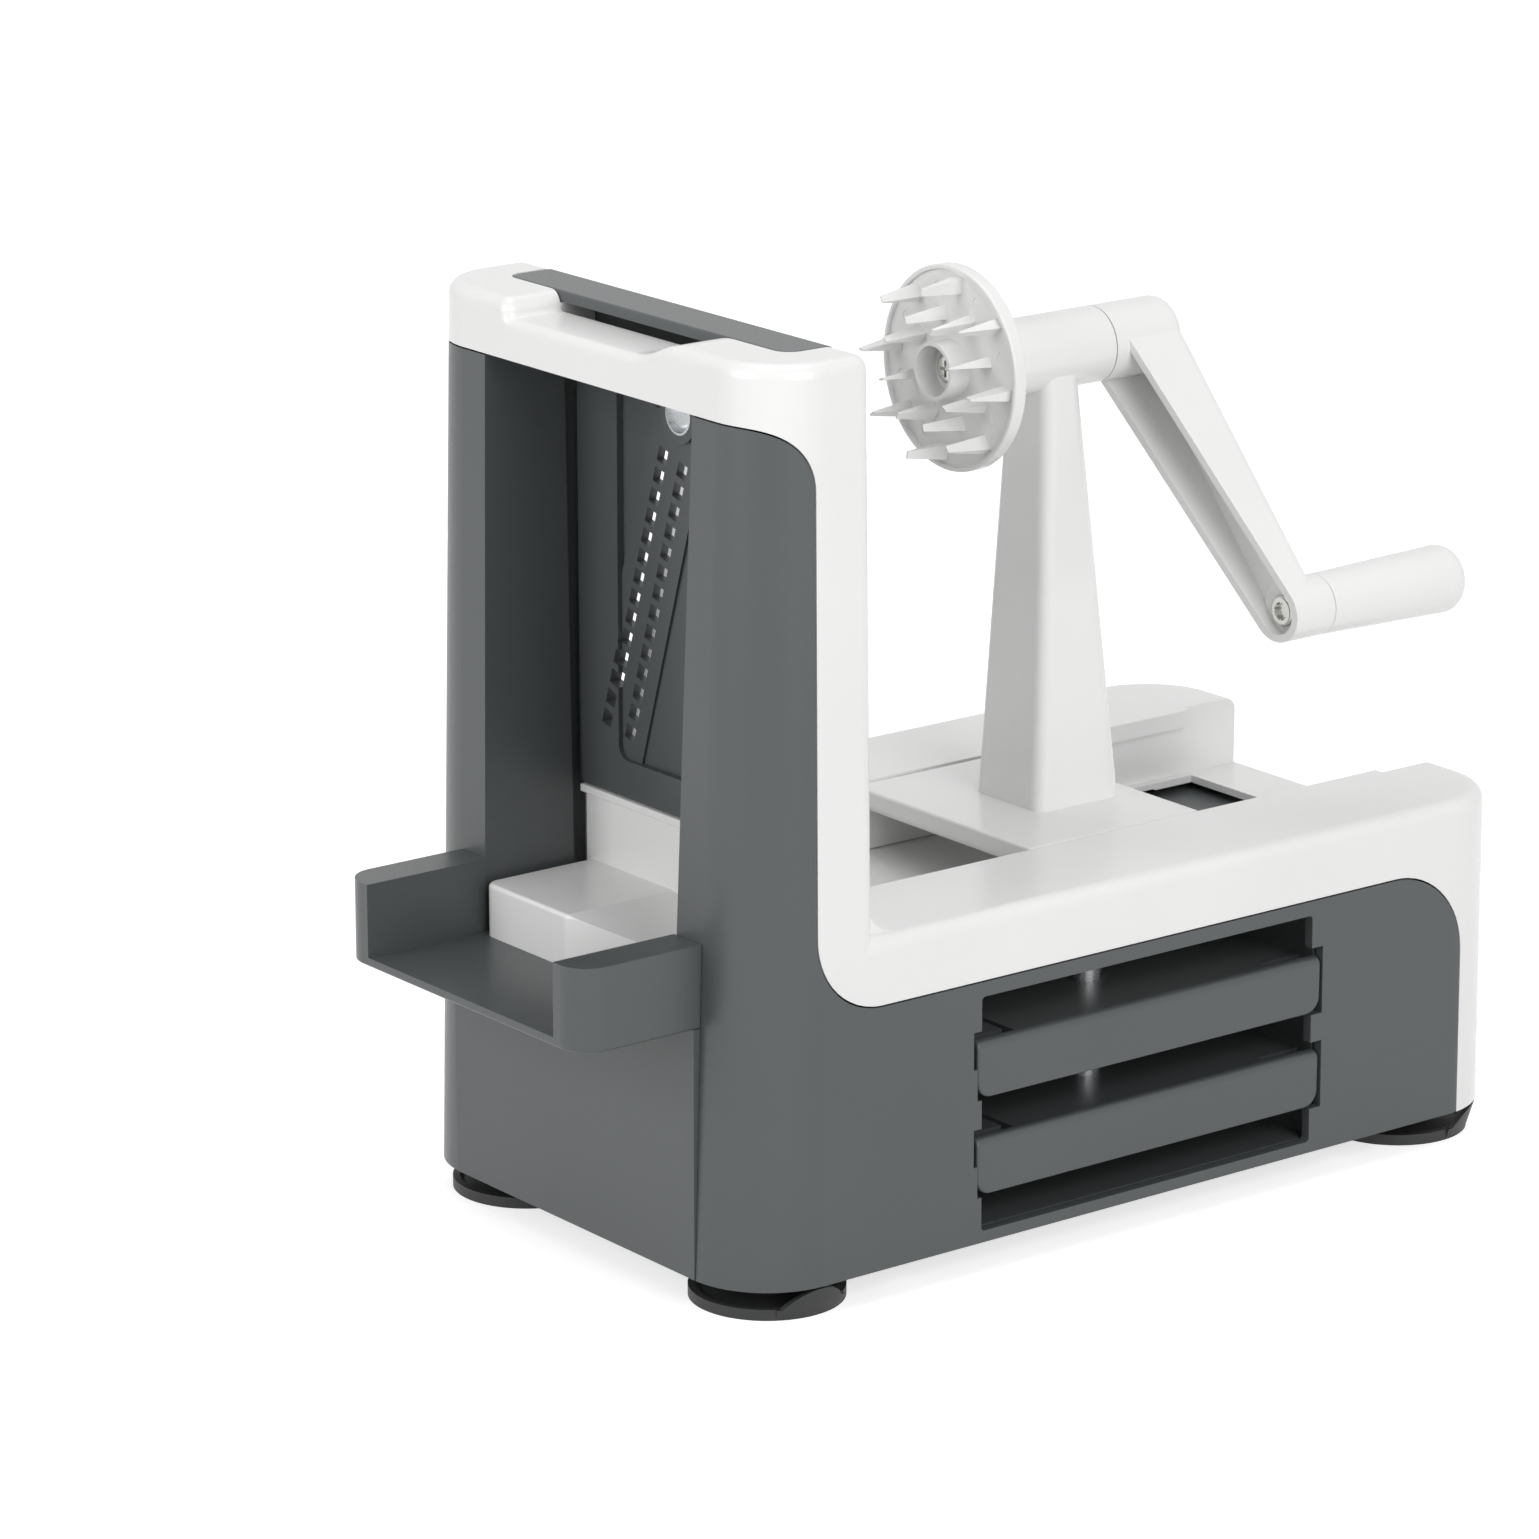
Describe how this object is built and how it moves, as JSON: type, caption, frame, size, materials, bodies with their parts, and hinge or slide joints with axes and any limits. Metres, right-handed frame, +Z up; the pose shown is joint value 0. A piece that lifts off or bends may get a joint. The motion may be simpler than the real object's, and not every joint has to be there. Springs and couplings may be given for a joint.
{
  "type": "spiralizer with crank",
  "caption": "Hand cranked spiralizer: upright frame with a slide-in blade insert, a carriage with a spiked disc and a crank on rails, an outlet tray, stored inserts and suction feet.",
  "frame": {"origin": "middle of the footprint on the surface that the suction feet stand on", "axes": "+X from the outlet tray to the crank, +Y away from the side with the storage bay, +Z up"},
  "size_m": [0.32, 0.161, 0.2645],
  "materials": {
    "grey_abs": "satin moulded",
    "white_abs": "glossy moulded",
    "black_rubber": "matt",
    "plated_steel": "nickel plated",
    "blade_steel": "ground",
    "bush_nylon": "natural"
  },
  "bodies": {
    "housing": {"base_shell": "grey_abs", "upper_housing": "white_abs", "outlet_tray": "grey_abs", "outlet_chute": "white_abs", "bottom_plate": "grey_abs", "bottom_screws": "plated_steel", "suction_foot_front_right": "black_rubber", "suction_foot_front_left": "black_rubber", "suction_foot_rear_right": "black_rubber", "suction_foot_rear_left": "black_rubber", "insert_bay": "grey_abs"},
    "carriage": {"carriage_plate": "white_abs", "carriage_chassis": "white_abs", "carriage_tower": "white_abs", "tower_screws": "plated_steel", "front_bush": "bush_nylon", "rear_bush": "bush_nylon"},
    "crank": {"crank_shaft": "plated_steel", "shaft_clip": "plated_steel", "spiked_disc": "white_abs", "disc_spikes": "white_abs", "disc_screw": "plated_steel", "crank_arm": "white_abs", "grip_screw": "plated_steel", "grip_axle": "plated_steel"},
    "grip": {"crank_grip": "white_abs", "grip_cap": "white_abs"},
    "working_insert": {"working_insert_frame": "grey_abs", "working_insert_core_ring": "blade_steel", "working_insert_blade": "blade_steel", "working_insert_teeth": "blade_steel"},
    "upper_insert": {"upper_insert_frame": "grey_abs", "upper_insert_core_ring": "blade_steel", "upper_insert_blade": "blade_steel", "upper_insert_teeth": "blade_steel"},
    "lower_insert": {"lower_insert_frame": "grey_abs", "lower_insert_core_ring": "blade_steel", "lower_insert_blade": "blade_steel", "lower_insert_teeth": "blade_steel"}
  },
  "joints": [
    {"name": "carriage_slide", "type": "slide", "parent": "housing", "child": "carriage", "axis": [1, 0, 0], "range_m": [-0.072, 0.068]},
    {"name": "crank_spin", "type": "hinge", "parent": "carriage", "child": "crank", "pos_m": [0.038, 0, 0.2346], "axis": [1, 0, 0], "continuous": true},
    {"name": "grip_spin", "type": "hinge", "parent": "crank", "child": "grip", "pos_m": [0.108, -0.06544, 0.16684], "axis": [1, 0, 0], "continuous": true},
    {"name": "working_insert_lift", "type": "slide", "parent": "housing", "child": "working_insert", "axis": [0, 0, 1], "range_m": [0, 0.15]},
    {"name": "upper_insert_pull", "type": "slide", "parent": "housing", "child": "upper_insert", "axis": [0, -1, 0], "range_m": [0, 0.15]},
    {"name": "lower_insert_pull", "type": "slide", "parent": "housing", "child": "lower_insert", "axis": [0, -1, 0], "range_m": [0, 0.15]}
  ]
}
